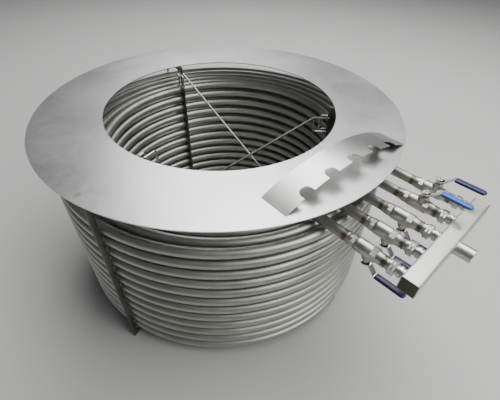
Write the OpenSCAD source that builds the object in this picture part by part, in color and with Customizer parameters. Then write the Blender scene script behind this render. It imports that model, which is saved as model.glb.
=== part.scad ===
// Helical coil heat exchanger: five nested stainless tube coils under a flat
// ring plate, with five valved branches to a square header.
// Millimetres, +Z up, floor at z = 0, coil axis on the Z axis.

/* [Ring plate] */
// outer diameter of the ring plate
plate_d = 1120; // [1080:10:1200]
// diameter of the hole in the ring plate
hole_d = 720; // [680:10:760]
// thickness of the ring plate
plate_t = 3; // [2:0.5:6]
// height of the plate's top face above the floor
overall_h = 600; // [590:5:700]

/* [Coil tubes] */
// outside diameter of the coil tube
tube_d = 27; // [24:0.5:28]
// rise of a coil in one turn
turn_pitch = 38; // [37:0.5:39]
// distance between neighbouring coil layers
layer_step = 32.5; // [31:0.5:34]
// half turns in each coil
half_turns = 26; // [20:2:26]
// sweep of the lowest part turn
last_sweep = 140; // [90:5:150]
// length of the outer tube's straight lower end
tail_len = 170; // [60:10:180]

/* [Branches] */
// direction in which the branches leave, seen from above
branch_angle = -52; // [-60:1:-40]
// distance between neighbouring branches
branch_pitch = 79; // [76:1:90]
// sideways shift of the middle branch from the axis
branch_shift = 66; // [55:1:75]
// depth of the branch axes under the plate's top face
branch_drop = 88; // [84:1:95]
// bend radius of the tube where it leaves its coil
bend_r = 40; // [34:1:44]

/* [Valves and header] */
// distance of the valve stems outside the plate's edge
stem_out = 72; // [66:1:84]
// outside diameter of the valve body
body_d = 46; // [42:1:48]
// length of a lever from its stem
lever_len = 107; // [95:1:115]
// side of the square header tube
header_w = 40; // [34:1:50]

/* [Cover strip] */
// width of the loose cover strip
strip_w = 78; // [60:1:80]
// straight length between the strip's ends
strip_chord = 452; // [430:1:456]
// thickness of the strip
strip_t = 2; // [1.5:0.5:3]

/* [Frames] */
// direction of the first support frame
frame_angle = -125; // [-135:1:-118]
// width of the upright flat bars
bar_w = 30; // [20:1:40]
// thickness of the upright flat bars
bar_t = 4; // [3:0.5:6]

/* [Output] */
// which piece to show

/* [Hidden] */
$fn = 48;
steel = [0.72, 0.72, 0.71];
bright = [0.85, 0.85, 0.84];
blue = [0.12, 0.22, 0.5];

tube_r = tube_d / 2;
// room left between a tube and the bar or rung beside it
seat = 0.2;
// half of a half turn's rise
lift = turn_pitch / 4;
z_branch = overall_h - branch_drop;
// bar and clearance between the hole's edge and the innermost coil
inner_r = hole_d / 2 + 8.3 + bar_t + seat + tube_r;
outer_r = inner_r + 4 * layer_step;
stem_s = plate_d / 2 + stem_out;
weld_s = stem_s - 58;
union_s = stem_s + 50;
header_s = stem_s + 105;
branch_first = branch_shift - 2 * branch_pitch;
header_len = 4 * branch_pitch + header_w + 12;
low_bar_r = inner_r - tube_r - seat - bar_t;
out_bar_r = outer_r + tube_r + seat;
rail_h = overall_h - plate_t - 27;
rung_r = (turn_pitch - tube_d) / 2 - seat;

function layer_r(i) = outer_r - (i - 1) * layer_step;
function off_n(i) = branch_first + (i - 1) * branch_pitch;
// distance along the branch direction at which the outward bend of tube i ends
function bend_s(i) = sqrt(pow(layer_r(i) + bend_r, 2) - pow(off_n(i) - bend_r, 2));
// direction in which tube i leaves its circle
function exit_a(i) = branch_angle + atan2(off_n(i) - bend_r, bend_s(i));
// lever side: first three hang under their valves
function side(i) = i < 4 ? -1 : 1;
// height of the first coil layer at direction a, turn k
function coil_z(a, k) = let (q = exit_a(1) - a + 720, w = q % 180, h = floor((q % 360) / 180))
    z_branch - k * turn_pitch - h * turn_pitch / 2 - turn_pitch / 4 * (1 - cos(w));
// height of the rung that carries turn t - 1 at direction a
function rung_z(a, t) = coil_z(a, t) + turn_pitch / 2;

// frame of half turn j: its two ends lie on the local x axis at the right heights
module half_frame(r, j)
{
    translate([0, 0, z_branch - turn_pitch / 4 - j * turn_pitch / 2])
        rotate([0, 0, exit_a(1) - 180 * (j + 1)])
            rotate([0, tilt(r), 0])
                children();
}

// a number to six figures, and how much a turn by rounded figures stretches
function six(x) = let (m = pow(10, 5 - floor(log(abs(x))))) round(x * m) / m;
function stretch(a) = (2 * norm([six(cos(a)), six(sin(a))]) + 1) / 3;
function tilt(r) = atan2(lift, r);
// radius at which tilted half turns meet end to end, and the level radius there
function tilt_r(r) = lift * norm([six(cos(tilt(r))), six(sin(tilt(r)))])
    / (six(sin(tilt(r))) * stretch(tilt(r)) * stretch(exit_a(1)));
function level_r(r) = lift * six(cos(tilt(r))) / (six(sin(tilt(r))) * stretch(exit_a(1)));

// tube section, itself turned by t, swept through a; r is set in a coarse and a fine step
module arc_tube(r, a, t)
{
    coarse = floor(r * 100) / 100;
    rotate_extrude(angle = a, $fn = 96)
        translate([coarse, 0])
            translate([r - coarse, 0])
                rotate(t)
                    circle(d = tube_d, $fn = 32);
}

module half_turn(r, j)
{
    half_frame(r, j)
        arc_tube(tilt_r(r), 180, 0);
}

module straight(h)
{
    rotate([90, 0, 0])
        cylinder(d = tube_d, h = h, $fn = 32);
}

// one coil layer; the inner layers run on level to where their branches leave
module coil_tube(i)
{
    over = exit_a(i) - exit_a(1);
    color(steel)
    union()
    {
        for (j = [0 : half_turns - (i == 1 ? 2 : 1)])
            half_turn(layer_r(i), j);
        if (over > 0.01)
            translate([0, 0, z_branch])
                rotate([0, 0, exit_a(1)])
                    arc_tube(level_r(layer_r(i)), over, tilt(layer_r(i)));
    }
}

// lowest part turn of the outer coil and its straight end
module lower_end()
{
    color(steel)
    half_frame(outer_r, half_turns - 1)
        rotate([0, 0, 180 - last_sweep])
            union()
            {
                rotate_extrude(angle = last_sweep, $fn = 96)
                    translate([tilt_r(outer_r), 0])
                        circle(d = tube_d, $fn = 32);
                translate([tilt_r(outer_r), 0, 0])
                    straight(tail_len);
            }
}

// outward bend and straight run of branch i, up to its first weld
module branch_tube(i)
{
    color(steel)
    translate([0, 0, z_branch])
        rotate([0, 0, branch_angle])
            union()
            {
                translate([bend_s(i), off_n(i) - bend_r, 0])
                    rotate([0, 0, 90])
                        rotate_extrude(angle = exit_a(i) - branch_angle + 90, $fn = 96)
                            translate([bend_r, 0])
                                rotate(180)
                                    circle(d = tube_d, $fn = 32);
                translate([bend_s(i), off_n(i), 0])
                    rotate([0, 90, 0])
                        rotate([0, 0, -90])
                            cylinder(d = tube_d, h = weld_s - bend_s(i), $fn = 32);
            }
}

// frame of valve i: x outward along the branch from the stem, z toward the lever
module at_valve(i)
{
    translate([0, 0, z_branch])
        rotate([0, 0, branch_angle])
            translate([stem_s, off_n(i), 0])
                rotate([side(i) < 0 ? 180 : 0, 0, 0])
                    children();
}

module along(a, b, d, f)
{
    translate([a, 0, 0])
        rotate([0, 90, 0])
            cylinder(d = d, h = b - a, $fn = f);
}

module bead(x)
{
    translate([x, 0, 0])
        rotate([0, 90, 0])
            rotate_extrude()
                translate([tube_r - 0.4, 0])
                    circle(r = 2, $fn = 16);
}

module valve_body(i)
{
    color(steel)
    at_valve(i)
    union()
    {
        along(weld_s - stem_s, union_s - stem_s, tube_d, 48);
        along(weld_s - stem_s + 15, -30, body_d * 0.84, 6);
        along(-32, 10, body_d, 48);
        along(8, 22, body_d * 0.94, 6);
        bead(40);
        cylinder(d = 22, h = body_d / 2 + 6);
        cylinder(d = 16, h = body_d / 2 + 12.8, $fn = 6);
        cylinder(d = 8, h = body_d / 2 + 22);
    }
}

module union_nut(i)
{
    color(bright)
    at_valve(i)
    union()
    {
        along(union_s - stem_s, union_s - stem_s + 14, 42, 6);
        along(union_s - stem_s + 12, union_s - stem_s + 21, 32, 48);
        along(union_s - stem_s + 20, header_s - stem_s - header_w / 2, 21, 48);
        translate([header_s - stem_s - header_w / 2 - 2.2, 0, 0])
            rotate([0, 90, 0])
                rotate_extrude()
                    translate([10.5, 0])
                        circle(r = 2.2, $fn = 16);
    }
}

module lever(i)
{
    z0 = body_d / 2 + 13;
    color(bright)
    at_valve(i)
    difference()
    {
        union()
        {
            translate([0, 7, 0])
                rotate([90, 0, 0])
                    linear_extrude(height = 14)
                        polygon([[0, z0], [13, z0], [30, z0 + 20], [lever_len - 6, z0 + 20],
                                 [lever_len - 6, z0 + 23], [28.6, z0 + 23], [11.6, z0 + 3], [0, z0 + 3]]);
            translate([0, 0, z0])
                cylinder(d = 22, h = 3);
            translate([0, 0, z0 + 2])
                cylinder(d = 15, h = 5, $fn = 6);
        }
        translate([0, 0, z0 - 1])
            cylinder(d = 8.15, h = 12);
    }
}

module grip(i)
{
    z0 = body_d / 2 + 33;
    color(blue)
    at_valve(i)
    difference()
    {
        translate([0, 0, z0 - 3])
            union()
            {
                translate([41, -9, 0])
                    cube([lever_len - 50, 18, 9]);
                translate([41, 0, 0])
                    cylinder(d = 18, h = 9);
                translate([lever_len - 9, 0, 0])
                    cylinder(d = 18, h = 9);
            }
        translate([20, -7, z0])
            cube([lever_len - 26, 14, 3]);
    }
}

module in_branch()
{
    translate([0, 0, z_branch])
        rotate([0, 0, branch_angle])
            children();
}

// square tube with rounded corners, welded shut at both ends
module header_box()
{
    w = header_w;
    r = 5;
    color(steel)
    in_branch()
    translate([header_s, branch_shift + header_len / 2, 0])
        rotate([90, 0, 0])
            union()
            {
                for (x = [-1, 1], y = [-1, 1])
                    translate([x * (w / 2 - r), y * (w / 2 - r), 0])
                        cylinder(r = r, h = header_len);
                translate([-w / 2, -w / 2 + r, 0])
                    cube([w, w - 2 * r, header_len]);
                translate([-w / 2 + r, -w / 2, 0])
                    cube([w - 2 * r, w, header_len]);
            }
}

module outlet_stub()
{
    w = header_w;
    color(steel)
    in_branch()
    translate([header_s + w / 2, branch_shift, 0])
        rotate([0, 90, 0])
            difference()
            {
                cylinder(d = w * 0.84, h = 38);
                translate([0, 0, -1])
                    cylinder(d = w * 0.7, h = 40);
            }
}

module ring_plate()
{
    color(steel)
    translate([0, 0, overall_h - plate_t])
        difference()
        {
            cylinder(d = plate_d, h = plate_t, $fn = 180);
            translate([0, 0, -1])
                cylinder(d = hole_d, h = plate_t + 2, $fn = 180);
        }
}

module cover_strip()
{
    r = plate_d / 2;
    half = asin(strip_chord / 2 / (r + strip_t));
    drop = (r + strip_t) * cos(half);
    color(steel)
    translate([0, 0, overall_h])
        rotate([0, 0, branch_angle])
            translate([plate_d / 2 - 99, 2, -drop])
                rotate([0, 0, -2.5])
                    difference()
                    {
                        rotate([0, 90, 0])
                            translate([0, 0, -strip_w / 2])
                                rotate([0, 0, 180 - half])
                                    rotate_extrude(angle = 2 * half, $fn = 180)
                                        translate([r, 0])
                                            square([strip_t, strip_w]);
                        for (i = [-2 : 2])
                            rotate([-i * branch_pitch / r * 57.2958, 0, 0])
                                translate([strip_w / 2, 0, r - 10])
                                {
                                    translate([-9, 0, 0])
                                        cylinder(r = 16, h = 30);
                                    translate([-9, -16, 0])
                                        cube([30, 32, 30]);
                                }
                        translate([-strip_w, -strip_chord, drop - 200])
                            cube([2 * strip_w, 2 * strip_chord, 200]);
                    }
}

module support_frame(k)
{
    a = frame_angle + (k - 1) * 120;
    span = out_bar_r + bar_t - low_bar_r;
    color(steel)
    rotate([0, 0, a])
    union()
    {
        translate([out_bar_r, -bar_w / 2, 0])
            cube([bar_t, bar_w, overall_h - plate_t]);
        translate([low_bar_r, -bar_w / 3, 0])
            cube([bar_t, bar_w * 2 / 3, overall_h - plate_t]);
        translate([low_bar_r, -bar_t / 2, rail_h])
            cube([span, bar_t, overall_h - plate_t - rail_h]);
        translate([low_bar_r, -bar_w / 2, 0])
            cube([span, bar_w, bar_t]);
        for (t = [1 : half_turns / 2])
            if (rung_z(a, t) > bar_t + rung_r)
                translate([low_bar_r + 1, 0, rung_z(a, t)])
                    rotate([0, 90, 0])
                        cylinder(r = rung_r, h = span - 2, $fn = 24);
    }
}

module well_clips(k)
{
    a = frame_angle + (k - 1) * 120;
    y = bar_w / 3 + 2.5;
    color(bright)
    rotate([0, 0, a])
    for (z = [overall_h - 45, overall_h - 90])
        translate([low_bar_r - 8, 0, z])
        {
            rotate([0, 0, 90])
                rotate_extrude(angle = 180)
                    translate([y, 0])
                        circle(r = 2.5, $fn = 24);
            for (s = [-1, 1])
                translate([0, s * y, 0])
                    rotate([0, 90, 0])
                        cylinder(r = 2.5, h = 8 + bar_t, $fn = 24);
        }
}

module rod_between(p, q, d)
{
    v = q - p;
    translate(p)
        rotate([0, acos(v[2] / norm(v)), atan2(v[1], v[0])])
            cylinder(d = d, h = norm(v), $fn = 24);
}

function well_point(k, z, in) = let (a = frame_angle + (k - 1) * 120)
    [(low_bar_r - in) * cos(a), (low_bar_r - in) * sin(a), z];

module rod_foot(k, z)
{
    a = frame_angle + (k - 1) * 120;
    rotate([0, 0, a])
        translate([low_bar_r - 9, -5, z - 7])
            cube([9, 10, 14]);
}

module steep_tie_rod()
{
    color(bright)
    union()
    {
        rod_between(well_point(3, overall_h - 24, 5), well_point(2, 45, 5), 7);
        rod_foot(3, overall_h - 24);
        rod_foot(2, 45);
    }
}

module level_tie_rod()
{
    color(steel)
    union()
    {
        rod_between(well_point(2, overall_h - 66, 5), well_point(1, overall_h - 150, 5), 7);
        rod_foot(2, overall_h - 66);
        rod_foot(1, overall_h - 150);
    }
}

ring_plate();
cover_strip();
coil_tube(1);  // coil_tube_1
coil_tube(2);  // coil_tube_2
coil_tube(3);  // coil_tube_3
coil_tube(4);  // coil_tube_4
coil_tube(5);  // coil_tube_5
branch_tube(1);  // branch_tube_1
branch_tube(2);  // branch_tube_2
branch_tube(3);  // branch_tube_3
branch_tube(4);  // branch_tube_4
branch_tube(5);  // branch_tube_5
lower_end();  // lower_end_1
valve_body(1);  // valve_body_1
valve_body(2);  // valve_body_2
valve_body(3);  // valve_body_3
valve_body(4);  // valve_body_4
valve_body(5);  // valve_body_5
union_nut(1);  // union_1
union_nut(2);  // union_2
union_nut(3);  // union_3
union_nut(4);  // union_4
union_nut(5);  // union_5
lever(1);  // lever_1
lever(2);  // lever_2
lever(3);  // lever_3
lever(4);  // lever_4
lever(5);  // lever_5
grip(1);  // grip_1
grip(2);  // grip_2
grip(3);  // grip_3
grip(4);  // grip_4
grip(5);  // grip_5
header_box();
outlet_stub();
support_frame(1);  // support_frame_1
support_frame(2);  // support_frame_2
support_frame(3);  // support_frame_3
well_clips(1);  // well_clips_1
well_clips(2);  // well_clips_2
well_clips(3);  // well_clips_3
steep_tie_rod();
level_tie_rod();
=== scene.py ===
import math

import bmesh
import bpy
from mathutils import Matrix, Vector, noise


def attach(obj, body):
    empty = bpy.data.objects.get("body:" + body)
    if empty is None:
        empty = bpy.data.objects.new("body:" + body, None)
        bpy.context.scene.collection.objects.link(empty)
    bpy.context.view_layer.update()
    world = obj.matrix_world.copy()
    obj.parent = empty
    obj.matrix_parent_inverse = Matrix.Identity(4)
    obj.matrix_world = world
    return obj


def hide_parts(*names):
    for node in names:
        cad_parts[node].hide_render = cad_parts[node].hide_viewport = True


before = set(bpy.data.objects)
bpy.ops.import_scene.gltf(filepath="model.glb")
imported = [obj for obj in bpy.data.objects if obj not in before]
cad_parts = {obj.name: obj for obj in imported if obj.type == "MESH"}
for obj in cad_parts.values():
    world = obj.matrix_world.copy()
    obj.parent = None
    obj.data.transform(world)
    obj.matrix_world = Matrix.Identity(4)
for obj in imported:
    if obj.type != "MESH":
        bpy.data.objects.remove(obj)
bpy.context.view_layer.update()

# Sizes of the real unit, in metres: z runs up the coils' axis and the floor is at 0.
# ring plate
PLATE_R = 0.560
PLATE_T = 0.003
TOP = 0.600

# coils, outermost first; the first turn rides a little above the even winding, most on the outermost
COILS = 5
ROWS = 12
TUBE_R = 0.0135
PITCH = 0.0392
OUTER_COIL_R = 0.516
COIL_STEP = 0.0325
COIL_R = [OUTER_COIL_R - COIL_STEP * k for k in range(COILS)]
OUTER_TURNS = 11.94
INNER_TURNS = 11.90
FIRST_TURN_LIFT = [0.014, 0.009, 0.005, 0.002, 0.0]
LIFT_END = math.radians(290)

# branches: level tubes side by side, from the coils through valve and union to the header
BRANCH_Z = TOP - 0.088
BRANCH_ANGLE = math.radians(-52)
BRANCH_STEP = 0.079
MIDDLE_BRANCH = 0.066
BRANCH_ASIDE = [MIDDLE_BRANCH + BRANCH_STEP * (k - COILS // 2) for k in range(COILS)]
BEND_R = 0.040
STEM_OUT = PLATE_R + 0.072
WELD_OUT = STEM_OUT - 0.058
UNION_OUT = STEM_OUT + 0.050
HEADER_OUT = STEM_OUT + 0.105
HANGING_LEVERS = (0, 1, 2)
BRIGHT_LEVER = 3

# lever: its foot on the stem, the raised arm and the sleeve
LEVER_FOOT_Z = 0.036
LEVER_ARM_Z = LEVER_FOOT_Z + 0.020
LEVER_T = 0.003
LEVER_W = 0.014
LEVER_L = 0.107
SLEEVE_START = 0.032
SLEEVE_W = 0.018
SLEEVE_T = 0.009

# header and outlet
HEADER_W = 0.040
HEADER_L = (COILS - 1) * BRANCH_STEP + HEADER_W + 0.012
END_T = 0.0026
OUTLET_R = HEADER_W * 0.42
OUTLET_BORE_R = HEADER_W * 0.35
OUTLET_L = 0.0378

# support frames: near, right and far, with bars on edge from one radius to another
FRAME_ANGLES = [math.radians(a) for a in (-125, -5, 115)]
NEAR, RIGHT = 0, 1
BAR_T = 0.004
INNER_BAR = (0.346, 0.3723)
OUTER_BAR = (0.5297, 0.5462)
RAIL_H = 0.027
FOOT_H = 0.012
INSET = 0.0002

# bent rods at the well
BOW_R = 0.0032
BOW_H = 0.049
BOW_BEND = 0.009
TIE_R = 0.0035
TIE_BEND = 0.012

BODY = "exchanger"
UP = Vector((0, 0, 1))
OUT = Vector((math.cos(BRANCH_ANGLE), math.sin(BRANCH_ANGLE), 0))
ASIDE = Vector((-math.sin(BRANCH_ANGLE), math.cos(BRANCH_ANGLE), 0))


# materials
def linear(hex_code):
    """sRGB hex colour as linear RGBA."""
    out = []
    for k in (0, 2, 4):
        c = int(hex_code[k:k + 2], 16) / 255
        out.append(c / 12.92 if c <= 0.04045 else ((c + 0.055) / 1.055) ** 2.4)
    return (*out, 1.0)


def add(tree, kind, settings=None, links=None, stops=()):
    """One shader node with its settings, socket values and incoming links, and a ramp's colour stops."""
    node = tree.nodes.new(kind)
    for key, value in (settings or {}).items():
        if isinstance(key, str) and hasattr(node, key):
            setattr(node, key, value)
        else:
            node.inputs[key].default_value = value
    for key, source in (links or {}).items():
        tree.links.new(source, node.inputs[key])
    if stops:
        elements = node.color_ramp.elements
        while len(elements) < len(stops):
            elements.new(0.5)
        for element, (position, code) in zip(elements, stops):
            element.position = position
            element.color = linear(code)
    return node


def make_finish(name, stops, roughness, uneven, cloud_mm, grain_mm, relief, stretch=(1, 1, 1),
                coords="Object", metallic=1.0):
    """A finish with a cloudy tone, fine grain, uneven gloss and a shallow relief.

    Clouds and grain are given in millimetres on the real unit. The camera sees about 3 mm of the unit in
    a pixel, so real grain finer than that is drawn coarser than it is, as each finish below says.
    """
    mat = bpy.data.materials.new(name)
    mat.use_nodes = True
    tree = mat.node_tree
    shader = tree.nodes["Principled BSDF"]
    shader.inputs["Metallic"].default_value = metallic
    place = add(tree, "ShaderNodeTexCoord").outputs[coords]
    cloud = add(tree, "ShaderNodeTexNoise", {"Scale": 1000 / cloud_mm, "Detail": 5.0, "Roughness": 0.6},
                {"Vector": place})
    drawn_out = add(tree, "ShaderNodeMapping", {"Scale": stretch}, {"Vector": place})
    grain = add(tree, "ShaderNodeTexNoise", {"Scale": 1000 / grain_mm, "Detail": 3.0, "Roughness": 0.7},
                {"Vector": drawn_out.outputs[0]})
    both = add(tree, "ShaderNodeMix", {"data_type": "FLOAT", 0: 0.35},
               {2: cloud.outputs[0], 3: grain.outputs[0]})
    colour = add(tree, "ShaderNodeValToRGB", links={0: both.outputs[0]}, stops=stops)
    tree.links.new(colour.outputs[0], shader.inputs["Base Color"])
    gloss = add(tree, "ShaderNodeMapRange", {1: 0.3, 2: 0.7, 3: roughness - uneven, 4: roughness + uneven},
                {0: both.outputs[0]})
    tree.links.new(gloss.outputs[0], shader.inputs["Roughness"])
    bump = add(tree, "ShaderNodeBump", {"Strength": relief, "Distance": 0.0004},
               {"Height": grain.outputs[0]})
    tree.links.new(bump.outputs[0], shader.inputs["Normal"])
    return mat


def paint_over(mat, mask, colour):
    """Lays a second colour, a hex value or a node's output, over a finish where the mask is 1."""
    tree = mat.node_tree
    base = tree.nodes["Principled BSDF"].inputs["Base Color"]
    mix = add(tree, "ShaderNodeMix", {"data_type": "RGBA"}, {0: mask, 6: base.links[0].from_socket})
    if isinstance(colour, str):
        mix.inputs[7].default_value = linear(colour)
    else:
        tree.links.new(colour, mix.inputs[7])
    tree.links.new(mix.outputs[2], base)


# from the weld outward: scale, brown, dull straw, pale straw and clean steel
HEAT_COLOURS = [(0.0, "4b4038"), (0.3, "6a574a"), (0.55, "988a6e"), (0.8, "b5ae96"), (1.0, "b4b2aa")]


def heat_tint(mat, welds, reach):
    """Heat oxides to both sides of the welds, which stand at these distances out along the branches."""
    tree = mat.node_tree
    place = add(tree, "ShaderNodeTexCoord").outputs["Object"]
    out = add(tree, "ShaderNodeVectorMath", {"operation": "DOT_PRODUCT", 1: tuple(OUT)}, {0: place})
    # the tint's edge wanders, in waves of about 17 mm
    waves = add(tree, "ShaderNodeTexNoise", {"Scale": 60.0, "Detail": 3.0}, {"Vector": place})
    shift = add(tree, "ShaderNodeMath", {"operation": "MULTIPLY_ADD", 1: reach * 0.9, 2: -reach * 0.45},
                {0: waves.outputs[0]})
    moved = add(tree, "ShaderNodeMath", {"operation": "ADD"}, {0: out.outputs["Value"], 1: shift.outputs[0]})
    for weld in welds:
        gap = add(tree, "ShaderNodeMath", {"operation": "SUBTRACT", 1: weld}, {0: moved.outputs[0]})
        away = add(tree, "ShaderNodeMath", {"operation": "ABSOLUTE"}, {0: gap.outputs[0]})
        share = add(tree, "ShaderNodeMapRange", {1: 0.0, 2: reach, 3: 0.0, 4: 1.0}, {0: away.outputs[0]})
        tint = add(tree, "ShaderNodeValToRGB", links={0: share.outputs[0]}, stops=HEAT_COLOURS)
        fade = add(tree, "ShaderNodeMapRange", {1: 0.4, 2: 1.0, 3: 0.8, 4: 0.0}, {0: share.outputs[0]})
        paint_over(mat, fade.outputs[0], tint.outputs[0])


def spot(mat, centre, radius, colour, strength):
    """One soft stain with a ragged edge, at a place on the piece."""
    tree = mat.node_tree
    place = add(tree, "ShaderNodeTexCoord").outputs["Object"]
    waves = add(tree, "ShaderNodeTexNoise", {"Scale": 2.0 / radius, "Detail": 3.0}, {"Vector": place})
    away = add(tree, "ShaderNodeVectorMath", {"operation": "DISTANCE", 1: tuple(centre)}, {0: place})
    ragged = add(tree, "ShaderNodeMath", {"operation": "MULTIPLY_ADD", 1: radius * 0.9},
                 {0: waves.outputs[0], 2: away.outputs["Value"]})
    mask = add(tree, "ShaderNodeMapRange", {1: radius * 0.6, 2: radius * 1.5, 3: strength, 4: 0.0},
               {0: ragged.outputs[0]})
    paint_over(mat, mask.outputs[0], colour)


# stainless tube, cold drawn and pickled: dull grey, with a soft broad highlight and lines along it;
# the drawing lines, under 0.1 mm apart, are drawn as streaks 5 mm wide and 125 mm long
tube_steel = make_finish(
    "pickled_stainless_tube", [(0.25, "999994"), (0.5, "b1b1ab"), (0.75, "c5c5bf")],
    roughness=0.47, uneven=0.06, cloud_mm=120, grain_mm=5, relief=0.10, stretch=(0.04, 1, 1), coords="UV")
heat_tint(tube_steel, [WELD_OUT - 0.006], 0.013)

# stainless sheet, cold rolled and pickled: pale, even and matt, clouded where it was handled;
# its grain of about 0.05 mm is drawn as an 18 mm mottle
sheet_steel = make_finish(
    "cold_rolled_stainless_sheet", [(0.3, "bdbebc"), (0.5, "c9cac8"), (0.7, "d2d3d1")],
    roughness=0.36, uneven=0.05, cloud_mm=300, grain_mm=18, relief=0.02)

# stainless strip, cold rolled and then bent: a little darker and glossier, with clouds closer together;
# its grain of about 0.05 mm is drawn 3 mm wide
strip_steel = make_finish(
    "rolled_stainless_strip", [(0.3, "b4b5b2"), (0.5, "c3c4c1"), (0.7, "d0d1ce")],
    roughness=0.34, uneven=0.06, cloud_mm=120, grain_mm=3, relief=0.04)

# square stainless tube, brushed after welding: bright and satin;
# its 0.1 mm brush marks are drawn 2.5 mm wide
header_steel = make_finish(
    "brushed_square_stainless_tube", [(0.3, "bebdb8"), (0.5, "cccbc6"), (0.7, "d6d5d0")],
    roughness=0.38, uneven=0.06, cloud_mm=80, grain_mm=2.5, relief=0.08)

# stainless plate, cut and welded on, and left dark and warm by the heat: no shine, and a rough skin;
# the scale's 0.2 mm flakes are drawn 2 mm wide
plate_end_steel = make_finish(
    "heat_dulled_end_plate", [(0.3, "47463d"), (0.5, "56554a"), (0.7, "68675a")],
    roughness=0.5, uneven=0.06, cloud_mm=20, grain_mm=2, relief=0.2)

# stainless casting, bead blasted: matt and slightly warm; the beads' 0.2 mm dimples are drawn 1.6 mm wide
cast_steel = make_finish(
    "blasted_cast_stainless", [(0.3, "a19f98"), (0.5, "bab8b1"), (0.7, "cccac4")],
    roughness=0.38, uneven=0.07, cloud_mm=30, grain_mm=1.6, relief=0.25)
heat_tint(cast_steel, [WELD_OUT - 0.006, STEM_OUT + 0.039], 0.011)

# stainless bar, machined: bright, with sharp glints; the tool's 0.1 mm marks are drawn 1.5 mm wide
turned_steel = make_finish(
    "machined_stainless", [(0.3, "bdbcb8"), (0.5, "d0cfcb"), (0.7, "dcdbd8")],
    roughness=0.30, uneven=0.05, cloud_mm=40, grain_mm=1.5, relief=0.06)

# round stainless rod, cold drawn: bright and smooth; its 0.1 mm drawing marks are drawn 2 mm wide
rod_steel = make_finish(
    "drawn_stainless_rod", [(0.3, "a5a39d"), (0.5, "bebcb6"), (0.7, "cfcdc8")],
    roughness=0.26, uneven=0.06, cloud_mm=50, grain_mm=2, relief=0.08)

# flat stainless bar, hot rolled, with a dull rough skin; dark as painted shade; its 0.5 mm pits are drawn 3
# mm wide
bar_steel = make_finish(
    "hot_rolled_bar_shade_darkened", [(0.3, "5c5b56"), (0.5, "72716b"), (0.7, "85847e")],
    roughness=0.48, uneven=0.08, cloud_mm=60, grain_mm=3, relief=0.22)

# round rod, dull and darkest, the dark tone painted shade for its place deep under the plate; its 0.3 mm
# pits are drawn 2 mm wide
dull_rod = make_finish(
    "shade_darkened_round_rod", [(0.3, "3f3e3b"), (0.5, "555450"), (0.7, "6c6b66")],
    roughness=0.55, uneven=0.06, cloud_mm=30, grain_mm=2, relief=0.2)

# plasticised PVC (vinyl), dipped on: deep blue with a soft sheen; the dip's dimples are about 1.5 mm wide
vinyl_navy = make_finish(
    "dipped_vinyl_navy", [(0.3, "151f45"), (0.5, "1a2653"), (0.7, "202f62")],
    roughness=0.38, uneven=0.06, cloud_mm=25, grain_mm=1.5, relief=0.15, metallic=0.0)

# the same vinyl in a brighter blue, on the fourth lever
vinyl_blue = make_finish(
    "dipped_vinyl_blue", [(0.3, "2c4f96"), (0.5, "3560ad"), (0.7, "4270be")],
    roughness=0.40, uneven=0.06, cloud_mm=25, grain_mm=1.5, relief=0.15, metallic=0.0)


# mesh makers
def piece(name, form, mat, body=BODY, replaces=(), sharp=35):
    """Turns a bmesh into a named piece that rides on a body and stands for CAD nodes."""
    mesh = bpy.data.meshes.new(name)
    bmesh.ops.recalc_face_normals(form, faces=form.faces)
    form.to_mesh(mesh)
    form.free()
    mesh.shade_smooth()
    mesh.set_sharp_from_angle(angle=math.radians(sharp))
    mesh.materials.append(mat)
    obj = bpy.data.objects.new(name, mesh)
    bpy.context.scene.collection.objects.link(obj)
    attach(obj, body)
    if replaces:
        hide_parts(*replaces)


def join_rings(form, low, high):
    """The faces between two rings of as many points."""
    count = len(low)
    return [form.faces.new((low[j], low[(j + 1) % count], high[(j + 1) % count], high[j]))
            for j in range(count)]


def sweep(form, path, sections):
    """Skins rings of points along a path; the uv layer holds metres along and round the skin."""
    uv = form.loops.layers.uv.verify()
    count = len(sections[0])
    girth = sum((sections[0][j] - sections[0][j - 1]).length for j in range(count))
    run = 0.0
    last = [form.verts.new(p) for p in sections[0]]
    form.faces.new(list(reversed(last)))
    for before, here, ring in zip(path, path[1:], sections[1:]):
        next_run = run + (here - before).length
        verts = [form.verts.new(p) for p in ring]
        for j, face in enumerate(join_rings(form, last, verts)):
            a, b = j / count * girth, (j + 1) / count * girth
            for loop, at in zip(face.loops, ((run, a), (run, b), (next_run, b), (next_run, a))):
                loop[uv].uv = at
        run = next_run
        last = verts
    form.faces.new(last)


def circle_ring(centre, side, up, radius, count):
    return [centre + radius * (math.cos(t) * side + math.sin(t) * up)
            for t in (2 * math.pi * j / count for j in range(count))]


def heading(path, k):
    """Direction of a path at its point k."""
    return (path[min(k + 1, len(path) - 1)] - path[max(k - 1, 0)]).normalized()


def crosswise(axis):
    """Two directions square to a level axis or an upright one."""
    side = UP if abs(axis.z) < 0.9 else OUT
    return side, axis.cross(side).normalized()


def lathe(form, profile, base, axis, count=48, turn=0.0):
    """Turns (distance, radius) points about an axis; a count of six gives a hexagon."""
    side, up = crosswise(axis)
    cos, sin = math.cos(turn), math.sin(turn)
    side, up = cos * side + sin * up, cos * up - sin * side
    path = [base + axis * d for d, r in profile]
    sweep(form, path, [circle_ring(p, side, up, r, count) for p, (d, r) in zip(path, profile)])


def lathe_hollow(form, profile, base, axis, count):
    """A turned shape whose profile closes on itself, such as a pipe with its bore."""
    side, up = crosswise(axis)
    rings = [[form.verts.new(p) for p in circle_ring(base + axis * d, side, up, r, count)]
             for d, r in profile]
    for low, high in zip(rings, rings[1:] + rings[:1]):
        join_rings(form, low, high)


def hexagon(form, start, end, across, base, axis, turn=0.0, chamfer=0.0012):
    """A hexagon with chamfered ends; across is over the corners."""
    r = across / 2
    tip_r = r - chamfer * 1.6
    profile = [(start, tip_r), (start + chamfer, r), (end - chamfer, r), (end, tip_r)]
    lathe(form, profile, base, axis, 6, turn)


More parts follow.
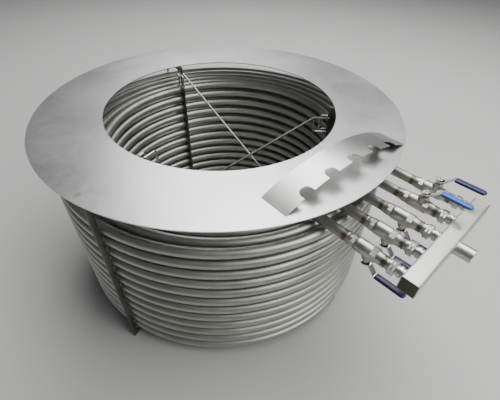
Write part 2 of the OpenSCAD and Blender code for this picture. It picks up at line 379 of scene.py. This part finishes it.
def weld_bead(form, centre, radius, thick, ripples):
    """A weld all round a tube on a branch, with the ripples that the torch leaves."""
    side, up = crosswise(OUT)
    steps, count = ripples * 4, 8
    rings = []
    for k in range(steps):
        t = 2 * math.pi * k / steps
        away = math.cos(t) * side + math.sin(t) * up
        uneven = noise.noise(away * 2.3 + centre * 9)
        swell = thick * (1 + 0.16 * math.cos(t * ripples) + 0.18 * uneven)
        rings.append([form.verts.new(centre + away * radius
                                     + swell * (math.cos(a) * away * 0.8 + math.sin(a) * OUT * 1.2))
                      for a in (2 * math.pi * j / count for j in range(count))])
    for low, high in zip(rings, rings[1:] + rings[:1]):
        join_rings(form, low, high)


def box(form, centre, half, axes, round_edge, segments=3, along=None):
    """A box along three axes. All its edges are rounded, or only those that run along one direction."""
    made = bmesh.ops.create_cube(form, size=2.0)["verts"]
    spin = Matrix(axes).transposed()
    for v in made:
        v.co = centre + spin @ Vector((v.co.x * half[0], v.co.y * half[1], v.co.z * half[2]))
    form.normal_update()
    edges = [e for e in form.edges if e.verts[0] in made]
    if along:
        edges = [e for e in edges if abs((e.verts[0].co - e.verts[1].co).normalized().dot(along)) > 0.9]
    bmesh.ops.bevel(form, geom=edges, offset=round_edge, segments=segments, profile=0.5, affect="EDGES")


# coils and branches
def branch_aside(i):
    """The outermost coil takes the last branch, so every tube passes over the coils outside its own."""
    return BRANCH_ASIDE[COILS - 1 - i]


def bend_start(i):
    """Distance out at which the branch tube of coil i starts to bend round to its coil."""
    return math.sqrt((COIL_R[i] + BEND_R) ** 2 - (branch_aside(i) + BEND_R) ** 2)


def join_angle(i):
    """Direction in which the branch tube meets coil i."""
    return BRANCH_ANGLE + math.atan2(branch_aside(i) + BEND_R, bend_start(i))


def row_z(angle, k):
    """Height of the coils' centre lines at a direction, k turns down from the top."""
    turned = (angle - join_angle(0)) % (2 * math.pi)
    return BRANCH_Z - PITCH * (turned / (2 * math.pi) + k)


def at_angle(angle, radius, z):
    return Vector((radius * math.cos(angle), radius * math.sin(angle), z))


def coil_path(i):
    """Centre line of one tube: from its weld at the valve, over the stack, and down round its coil."""
    aside, radius, start, join = branch_aside(i), COIL_R[i], bend_start(i), join_angle(i)
    straight_steps, bend_steps, steps_a_turn = 10, 12, 120
    points = [OUT * (WELD_OUT + (start - WELD_OUT) * k / straight_steps) + ASIDE * aside + UP * BRANCH_Z
              for k in range(straight_steps + 1)]
    # the bend, from straight in along the branch to round along the coil
    centre = OUT * start + ASIDE * (aside + BEND_R) + UP * BRANCH_Z
    for k in range(1, bend_steps + 1):
        t = BRANCH_ANGLE - math.pi / 2 + (join - BRANCH_ANGLE - math.pi / 2) * k / bend_steps
        points.append(centre + at_angle(t, BEND_R, 0))
    # level round to where the outermost coil starts down, so that all rows lie side by side
    if i:
        level_steps = max(1, round((join_angle(0) - join) / math.radians(3)))
        for k in range(1, level_steps + 1):
            points.append(at_angle(join + (join_angle(0) - join) * k / level_steps, radius, BRANCH_Z))
    turns = INNER_TURNS if i else OUTER_TURNS
    steps = round(turns * steps_a_turn)
    for k in range(1, steps + 1):
        turned = 2 * math.pi * turns * k / steps
        z = BRANCH_Z - PITCH * turned / (2 * math.pi)
        if turned < LIFT_END:
            z += FIRST_TURN_LIFT[i] * math.sin(math.pi * turned / LIFT_END) ** 2
        points.append(at_angle(join_angle(0) + turned, radius, z))
    return points


def make_coil(i):
    path = coil_path(i)
    sections = []
    for k, p in enumerate(path):
        ahead = heading(path, k)
        side = ahead.cross(UP).normalized()
        sections.append(circle_ring(p, side, side.cross(ahead), TUBE_R, 18))
    form = bmesh.new()
    sweep(form, path, sections)
    nodes = ["coil_tube_%d" % (i + 1), "branch_tube_%d" % (COILS - i)]
    if i == 0:
        nodes.append("lower_end_1")
    piece("coil_%d" % (i + 1), form, tube_steel, replaces=nodes)


# valves, unions and levers
def stem_foot(i):
    """The point under the stem on the branch's axis, and the direction in which the stem stands."""
    up = -UP if i in HANGING_LEVERS else UP
    return OUT * STEM_OUT + ASIDE * BRANCH_ASIDE[i] + UP * BRANCH_Z, up


def make_valve(i):
    """A ball valve, welded in at both ends; distances run out along the branch from the stem."""
    base, up = stem_foot(i)
    inlet = WELD_OUT - STEM_OUT
    outlet = UNION_OUT - STEM_OUT
    tube = TUBE_R - 0.0003
    inlet_tube = [(inlet, tube), (-0.042, tube)]
    inlet_neck = [(-0.054, 0.0146), (-0.052, 0.0152), (-0.043, 0.0158)]
    barrel = [(-0.036, 0.0145), (-0.034, 0.0162), (-0.0315, 0.0174), (-0.028, 0.0179), (0.004, 0.0179),
              (0.0065, 0.0172), (0.009, 0.0160)]
    outlet_neck = [(0.019, 0.0165), (0.0225, 0.0158), (0.025, 0.0148), (0.036, 0.0143), (0.0375, tube),
                   (outlet, tube)]
    bonnet = [(0.0, 0.0135), (0.0205, 0.0135), (0.0225, 0.0122), (0.0255, 0.0118), (0.0272, 0.0100),
              (0.0290, 0.0096)]
    stem = [(0.033, 0.004), (0.0445, 0.004), (0.045, 0.0035)]
    form = bmesh.new()
    lathe(form, inlet_tube, base, OUT)
    lathe(form, inlet_neck, base, OUT)
    hexagon(form, -0.046, -0.033, 0.0345, base, OUT, chamfer=0.0014)
    lathe(form, barrel, base, OUT)
    hexagon(form, 0.0055, 0.0210, 0.0390, base, OUT, chamfer=0.0014)
    lathe(form, outlet_neck, base, OUT)
    lathe(form, bonnet, base, up)
    hexagon(form, 0.0284, 0.0357, 0.016, base, up, chamfer=0.0008)
    lathe(form, stem, base, up, 32)
    for weld in (0.0405, inlet + 0.001):
        weld_bead(form, base + OUT * weld, TUBE_R + 0.0001, 0.0015, 26)
    piece("valve_%d" % (i + 1), form, cast_steel, replaces=["valve_body_%d" % (i + 1)])


def make_union(i):
    """Two thin hexagons back to back, then a collar on the nipple that is welded to the header."""
    base = stem_foot(i)[0]
    start = UNION_OUT - STEM_OUT + 0.002
    wall = HEADER_OUT - STEM_OUT - HEADER_W / 2
    nut, nipple, collar = 0.0400, 0.0112, 0.0142
    form = bmesh.new()
    lathe(form, [(start - 0.003, 0.0145), (start, 0.0160), (start + 0.002, 0.0160)], base, OUT)
    hexagon(form, start + 0.001, start + 0.0075, nut, base, OUT, chamfer=0.0008)
    lathe(form, [(start + 0.007, 0.0172), (start + 0.0088, 0.0172)], base, OUT)
    hexagon(form, start + 0.0083, start + 0.0150, nut, base, OUT, chamfer=0.0008)
    lathe(form, [(start + 0.0145, 0.0140), (start + 0.0165, 0.0118), (wall, nipple)], base, OUT)
    lathe(form, [(start + 0.0195, nipple), (start + 0.0200, collar - 0.0006), (start + 0.0208, collar),
                 (start + 0.0270, collar), (start + 0.0278, collar - 0.0006), (start + 0.0283, nipple)],
          base, OUT)
    weld_bead(form, base + OUT * (wall - 0.0012), 0.0116, 0.0016, 22)
    piece("union_nut_%d" % (i + 1), form, turned_steel, replaces=["union_%d" % (i + 1)])


def make_lever(i):
    """The bent plate with its round foot and nut on the stem, and the dipped sleeve on its arm."""
    base, up = stem_foot(i)
    side = up.cross(OUT)
    body = "handle_%d" % (i + 1)
    end = LEVER_L - 0.006
    under = [(0.0, LEVER_FOOT_Z), (0.013, LEVER_FOOT_Z), (0.030, LEVER_ARM_Z), (end, LEVER_ARM_Z)]
    over = [(0.0, LEVER_FOOT_Z), (0.0116, LEVER_FOOT_Z), (0.0286, LEVER_ARM_Z), (end, LEVER_ARM_Z)]
    form = bmesh.new()
    rows = []
    for (x0, h0), (x1, h1) in zip(under, over):
        low = base + OUT * x0 + up * h0
        high = base + OUT * x1 + up * (h1 + LEVER_T)
        edge = side * (LEVER_W / 2)
        rows.append([form.verts.new(p) for p in (low - edge, low + edge, high + edge, high - edge)])
    for low, high in zip(rows, rows[1:]):
        join_rings(form, low, high)
    form.faces.new(list(reversed(rows[0])))
    form.faces.new(rows[-1])
    corners = [e for e in form.edges if e.calc_face_angle(0) > math.radians(20)]
    bmesh.ops.bevel(form, geom=corners, offset=0.0009, segments=3, profile=0.6, affect="EDGES")
    foot = [(0.0, 0.0106), (0.0004, 0.011), (LEVER_T - 0.0004, 0.011), (LEVER_T, 0.0106)]
    lathe(form, [(LEVER_FOOT_Z + d, r) for d, r in foot], base, up, 40)
    hexagon(form, LEVER_FOOT_Z + 0.0028, LEVER_FOOT_Z + 0.007, 0.015, base, up, turn=0.3, chamfer=0.0007)
    piece("lever_plate_%d" % (i + 1), form, turned_steel, body, ["lever_%d" % (i + 1)])

    # the sleeve is drawn in at its mouth and closes in a round tip
    steps, count = 28, 24
    mouth_l, tip_l = 0.0045, 0.009
    form = bmesh.new()
    path, sections = [], []
    for k in range(steps + 1):
        x = SLEEVE_START + (LEVER_L - SLEEVE_START) * k / steps
        centre = base + OUT * x + up * (LEVER_ARM_Z + LEVER_T / 2)
        mouth = min(1.0, (x - SLEEVE_START) / mouth_l)
        tip = max(0.0, 1 - (LEVER_L - x) / tip_l)
        wide = SLEEVE_W / 2 * math.sqrt(max(0.0, 1 - tip * tip)) * (0.90 + 0.10 * mouth)
        wide = max(wide, 0.0012)
        high = SLEEVE_T / 2 * (0.80 + 0.20 * mouth) * (1 - 0.45 * tip ** 3)
        ring = []
        for j in range(count):
            c, s = math.cos(2 * math.pi * j / count), math.sin(2 * math.pi * j / count)
            ring.append(centre + side * wide * math.copysign(abs(c) ** 0.55, c)
                        + up * high * math.copysign(abs(s) ** 0.7, s))
        path.append(centre)
        sections.append(ring)
    sweep(form, path, sections)
    vinyl = vinyl_blue if i == BRIGHT_LEVER else vinyl_navy
    piece("lever_sleeve_%d" % (i + 1), form, vinyl, body, ["grip_%d" % (i + 1)], sharp=50)


# header
def make_header():
    """The square tube, a welded plate in each of its ends, and the open outlet pipe."""
    axes = (OUT, ASIDE, UP)
    middle = OUT * HEADER_OUT + ASIDE * MIDDLE_BRANCH + UP * BRANCH_Z
    half = HEADER_W / 2
    form = bmesh.new()
    box(form, middle, (half, HEADER_L / 2 - 0.0012, half), axes, 0.0045, segments=4, along=ASIDE)
    piece("header_tube", form, header_steel, replaces=["header_box"])
    plate = (half - 0.0016, END_T / 2, half - 0.0016)
    for name, sign in (("near", -1), ("far", 1)):
        form = bmesh.new()
        box(form, middle + ASIDE * sign * (HEADER_L - END_T) / 2, plate, axes, 0.0005)
        piece("header_end_" + name, form, plate_end_steel)
    base = middle + OUT * half
    rim = 0.0008
    outlet = [(0.0, OUTLET_R), (OUTLET_L - rim, OUTLET_R), (OUTLET_L, OUTLET_R - rim),
              (OUTLET_L, OUTLET_BORE_R + 0.0006), (OUTLET_L - rim, OUTLET_BORE_R), (0.0, OUTLET_BORE_R)]
    form = bmesh.new()
    lathe_hollow(form, outlet, base, OUT, 56)
    weld_bead(form, base + OUT * 0.0012, OUTLET_R - 0.0006, 0.0016, 34)
    piece("outlet_pipe", form, header_steel, replaces=["outlet_stub"])


# support frames and bent rods
def station(k):
    """Directions out from the axis and along the coils at one frame."""
    return at_angle(FRAME_ANGLES[k], 1, 0), at_angle(FRAME_ANGLES[k] + math.pi / 2, 1, 0)


def make_frame(k):
    """Two upright flat bars set on edge, a rail, a foot, and a round rung under every turn of the coils."""
    out, along = station(k)
    axes = (out, along, UP)
    height = TOP - PLATE_T
    form = bmesh.new()
    for low, high in (INNER_BAR, OUTER_BAR):
        half = ((high - low) / 2, BAR_T / 2, height / 2)
        box(form, out * (low + high) / 2 + UP * height / 2, half, axes, 0.0007)
    # rail and foot are a little thinner than the bars that they run between
    middle = (INNER_BAR[1] + OUTER_BAR[0]) / 2
    reach = (OUTER_BAR[0] - INNER_BAR[1]) / 2 + 2 * INSET
    thick = BAR_T / 2 - INSET
    box(form, out * middle + UP * (height - RAIL_H / 2), (reach, thick, RAIL_H / 2 - INSET), axes, 0.0006)
    box(form, out * middle + UP * FOOT_H / 2, (reach, thick, (FOOT_H - INSET) / 2), axes, 0.0006)
    rung_r = PITCH / 2 - TUBE_R - 2 * INSET
    rung = [(INNER_BAR[1] - 0.003, rung_r), (OUTER_BAR[0] + 0.003, rung_r)]
    for row in range(ROWS):
        lathe(form, rung, UP * (row_z(FRAME_ANGLES[k], row) - PITCH / 2), out, 20)
    name = "support_frame_%d" % (k + 1)
    # the bars' dark finish is painted shade
    piece("frame_%d" % (k + 1), form, bar_steel, replaces=[name])


def bent_rod(form, corners, bend, radius):
    """A round rod bent in one plane through the corners."""
    arc_steps = 8
    path = [corners[0]]
    for before, corner, after in zip(corners, corners[1:], corners[2:]):
        enter = corner + (before - corner).normalized() * bend
        leave = corner + (after - corner).normalized() * bend
        path += [enter.lerp(corner, t).lerp(corner.lerp(leave, t), t)
                 for t in (j / arc_steps for j in range(arc_steps + 1))]
    path.append(corners[-1])
    flat = (corners[1] - corners[0]).cross(corners[2] - corners[1]).normalized()
    sections = [circle_ring(p, flat, heading(path, k).cross(flat), radius, 14) for k, p in enumerate(path)]
    sweep(form, path, sections)


def make_bows(k, drop, reach, shift, step):
    """Two bent bows side by side on a frame's inner bar, near the plate.

    Their tops lie this drop under the plate's top and the first one's tip this reach from the axis;
    shift is the first one's place aside, and step is how far on the second one stands.
    """
    out, along = station(k)
    form = bmesh.new()
    for tip_r, aside in ((reach, shift), (reach + 0.022, shift + step)):
        high = UP * (TOP - drop) + along * aside
        low = high - UP * BOW_H
        tip, root = out * tip_r, out * (INNER_BAR[0] + 0.004)
        bent_rod(form, [root + high, tip + high, tip + low, root + low], BOW_BEND, BOW_R)
    piece("well_bows_%d" % (k + 1), form, rod_steel, replaces=["well_clips_%d" % (k + 1)])


def make_level_tie():
    """The dull rod across the well: level off the right-hand bar, then down to the near frame."""
    right = station(RIGHT)[0]
    near = station(NEAR)[0]
    high, low = UP * (TOP - 0.042), UP * (TOP - 0.185)
    corners = [right * INNER_BAR[0] + high, right * 0.301 + high, near * (INNER_BAR[0] + 0.001) + low]
    form = bmesh.new()
    bent_rod(form, corners, TIE_BEND, TIE_R)
    # the rod's dark finish is painted shade
    piece("level_tie", form, dull_rod, replaces=["level_tie_rod"])


make_bows(0, drop=0.006, reach=0.308, shift=0.001, step=-0.018)
make_bows(1, drop=0.043, reach=0.303, shift=-0.001, step=0.018)
make_bows(2, drop=0.020, reach=0.303, shift=0.016, step=0.008)
make_level_tie()
for k in range(len(FRAME_ANGLES)):
    make_frame(k)
for i in range(COILS):
    make_coil(i)
    make_valve(i)
    make_union(i)
    make_lever(i)
make_header()


# stains, and the finish of every CAD node
def add_stains():
    """A tan stain on the plate, a grey smudge on the header's top, and rust at a cut end and a weld."""
    cut_end = at_angle(join_angle(0) + 2 * math.pi * OUTER_TURNS, COIL_R[0], BRANCH_Z - PITCH * OUTER_TURNS)
    header_top = OUT * HEADER_OUT + ASIDE * 0.105 + UP * (BRANCH_Z + HEADER_W / 2)
    out, along = station(RIGHT)
    bow_weld = out * 0.338 + along * 0.017 + UP * (TOP - 0.043)
    spot(sheet_steel, (-0.322, -0.432, TOP), 0.011, "a8967f", 0.75)
    # a grey smudge on the header's top
    spot(header_steel, header_top, 0.014, "85837f", 0.6)
    spot(tube_steel, cut_end, 0.015, "4d332b", 0.85)
    spot(rod_steel, bow_weld, 0.014, "5c3a30", 0.85)
    spot(bar_steel, bow_weld + out * 0.02, 0.036, "3c2a25", 0.7)


add_stains()
FINISHES = {
    "ring": sheet_steel, "cover": strip_steel, "support": bar_steel,
    "well": rod_steel, "steep": rod_steel, "level": rod_steel,
    "coil": tube_steel, "branch": tube_steel, "lower": tube_steel,
    "valve": cast_steel, "union": turned_steel, "lever": turned_steel, "grip": vinyl_navy,
    "header": header_steel, "outlet": header_steel,
}
for name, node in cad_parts.items():
    node.data.materials.clear()
    node.data.materials.append(FINISHES[name.split("_")[0]])


# camera, light and floor
def photo_camera():
    """The photograph's camera, as fitted to the two circles of the ring plate."""
    photo_w, focal_px, sensor_mm = 500, 345.83, 36
    yaw, down, roll = 0.0963, 0.7233, 0.0286
    back, over = 1.8444 * PLATE_R, 0.894 * PLATE_R
    ahead = Vector((math.sin(yaw) * math.cos(down), math.cos(yaw) * math.cos(down), -math.sin(down)))
    level = Vector((math.cos(yaw), -math.sin(yaw), 0))
    upright = level.cross(ahead)
    right = math.cos(roll) * level + math.sin(roll) * upright
    up = math.cos(roll) * upright - math.sin(roll) * level
    data = bpy.data.cameras.new("camera")
    data.sensor_width = sensor_mm
    data.lens = focal_px / photo_w * sensor_mm
    data.clip_start = 0.02
    data.clip_end = 100
    camera = bpy.data.objects.new("camera", data)
    camera.matrix_world = Matrix((right, up, -ahead)).transposed().to_4x4()
    camera.location = Vector((0, -back, TOP + over))
    bpy.context.scene.collection.objects.link(camera)
    bpy.context.scene.camera = camera


def area_light(name, place, aim, size, watts):
    data = bpy.data.lights.new(name, "AREA")
    data.shape = "DISK"
    data.size = size
    data.energy = watts
    lamp = bpy.data.objects.new(name, data)
    lamp.location = place
    lamp.rotation_euler = (Vector(aim) - Vector(place)).to_track_quat("-Z", "Y").to_euler()
    bpy.context.scene.collection.objects.link(lamp)


def pale_floor():
    mesh = bpy.data.meshes.new("floor")
    form = bmesh.new()
    bmesh.ops.create_circle(form, cap_ends=True, segments=64, radius=9.0)
    form.to_mesh(mesh)
    form.free()
    floor = bpy.data.objects.new("floor", mesh)
    bpy.context.scene.collection.objects.link(floor)
    paper = bpy.data.materials.new("pale_paper_floor")
    paper.use_nodes = True
    shader = paper.node_tree.nodes["Principled BSDF"]
    shader.inputs["Base Color"].default_value = linear("b4b4b2")
    shader.inputs["Roughness"].default_value = 0.9
    mesh.materials.append(paper)


def soft_world():
    world = bpy.data.worlds.new("soft_daylight")
    world.use_nodes = True
    background = world.node_tree.nodes["Background"]
    background.inputs["Color"].default_value = linear("e4e8ea")
    background.inputs["Strength"].default_value = 0.16
    bpy.context.scene.world = world


# a broad panel overhead, one behind that the plate's far side mirrors, and one that lights the valves
photo_camera()
pale_floor()
soft_world()
area_light("overhead_panel", (1.1, 0.9, 4.2), (0.1, 0, 0.4), size=4.2, watts=240)
area_light("back_panel", (-0.15, 3.3, 3.7), (0, 0, 0.5), size=2.8, watts=90)
area_light("side_panel", (2.5, -1.9, 3.0), (0.2, -0.3, 0.3), size=2.8, watts=116)
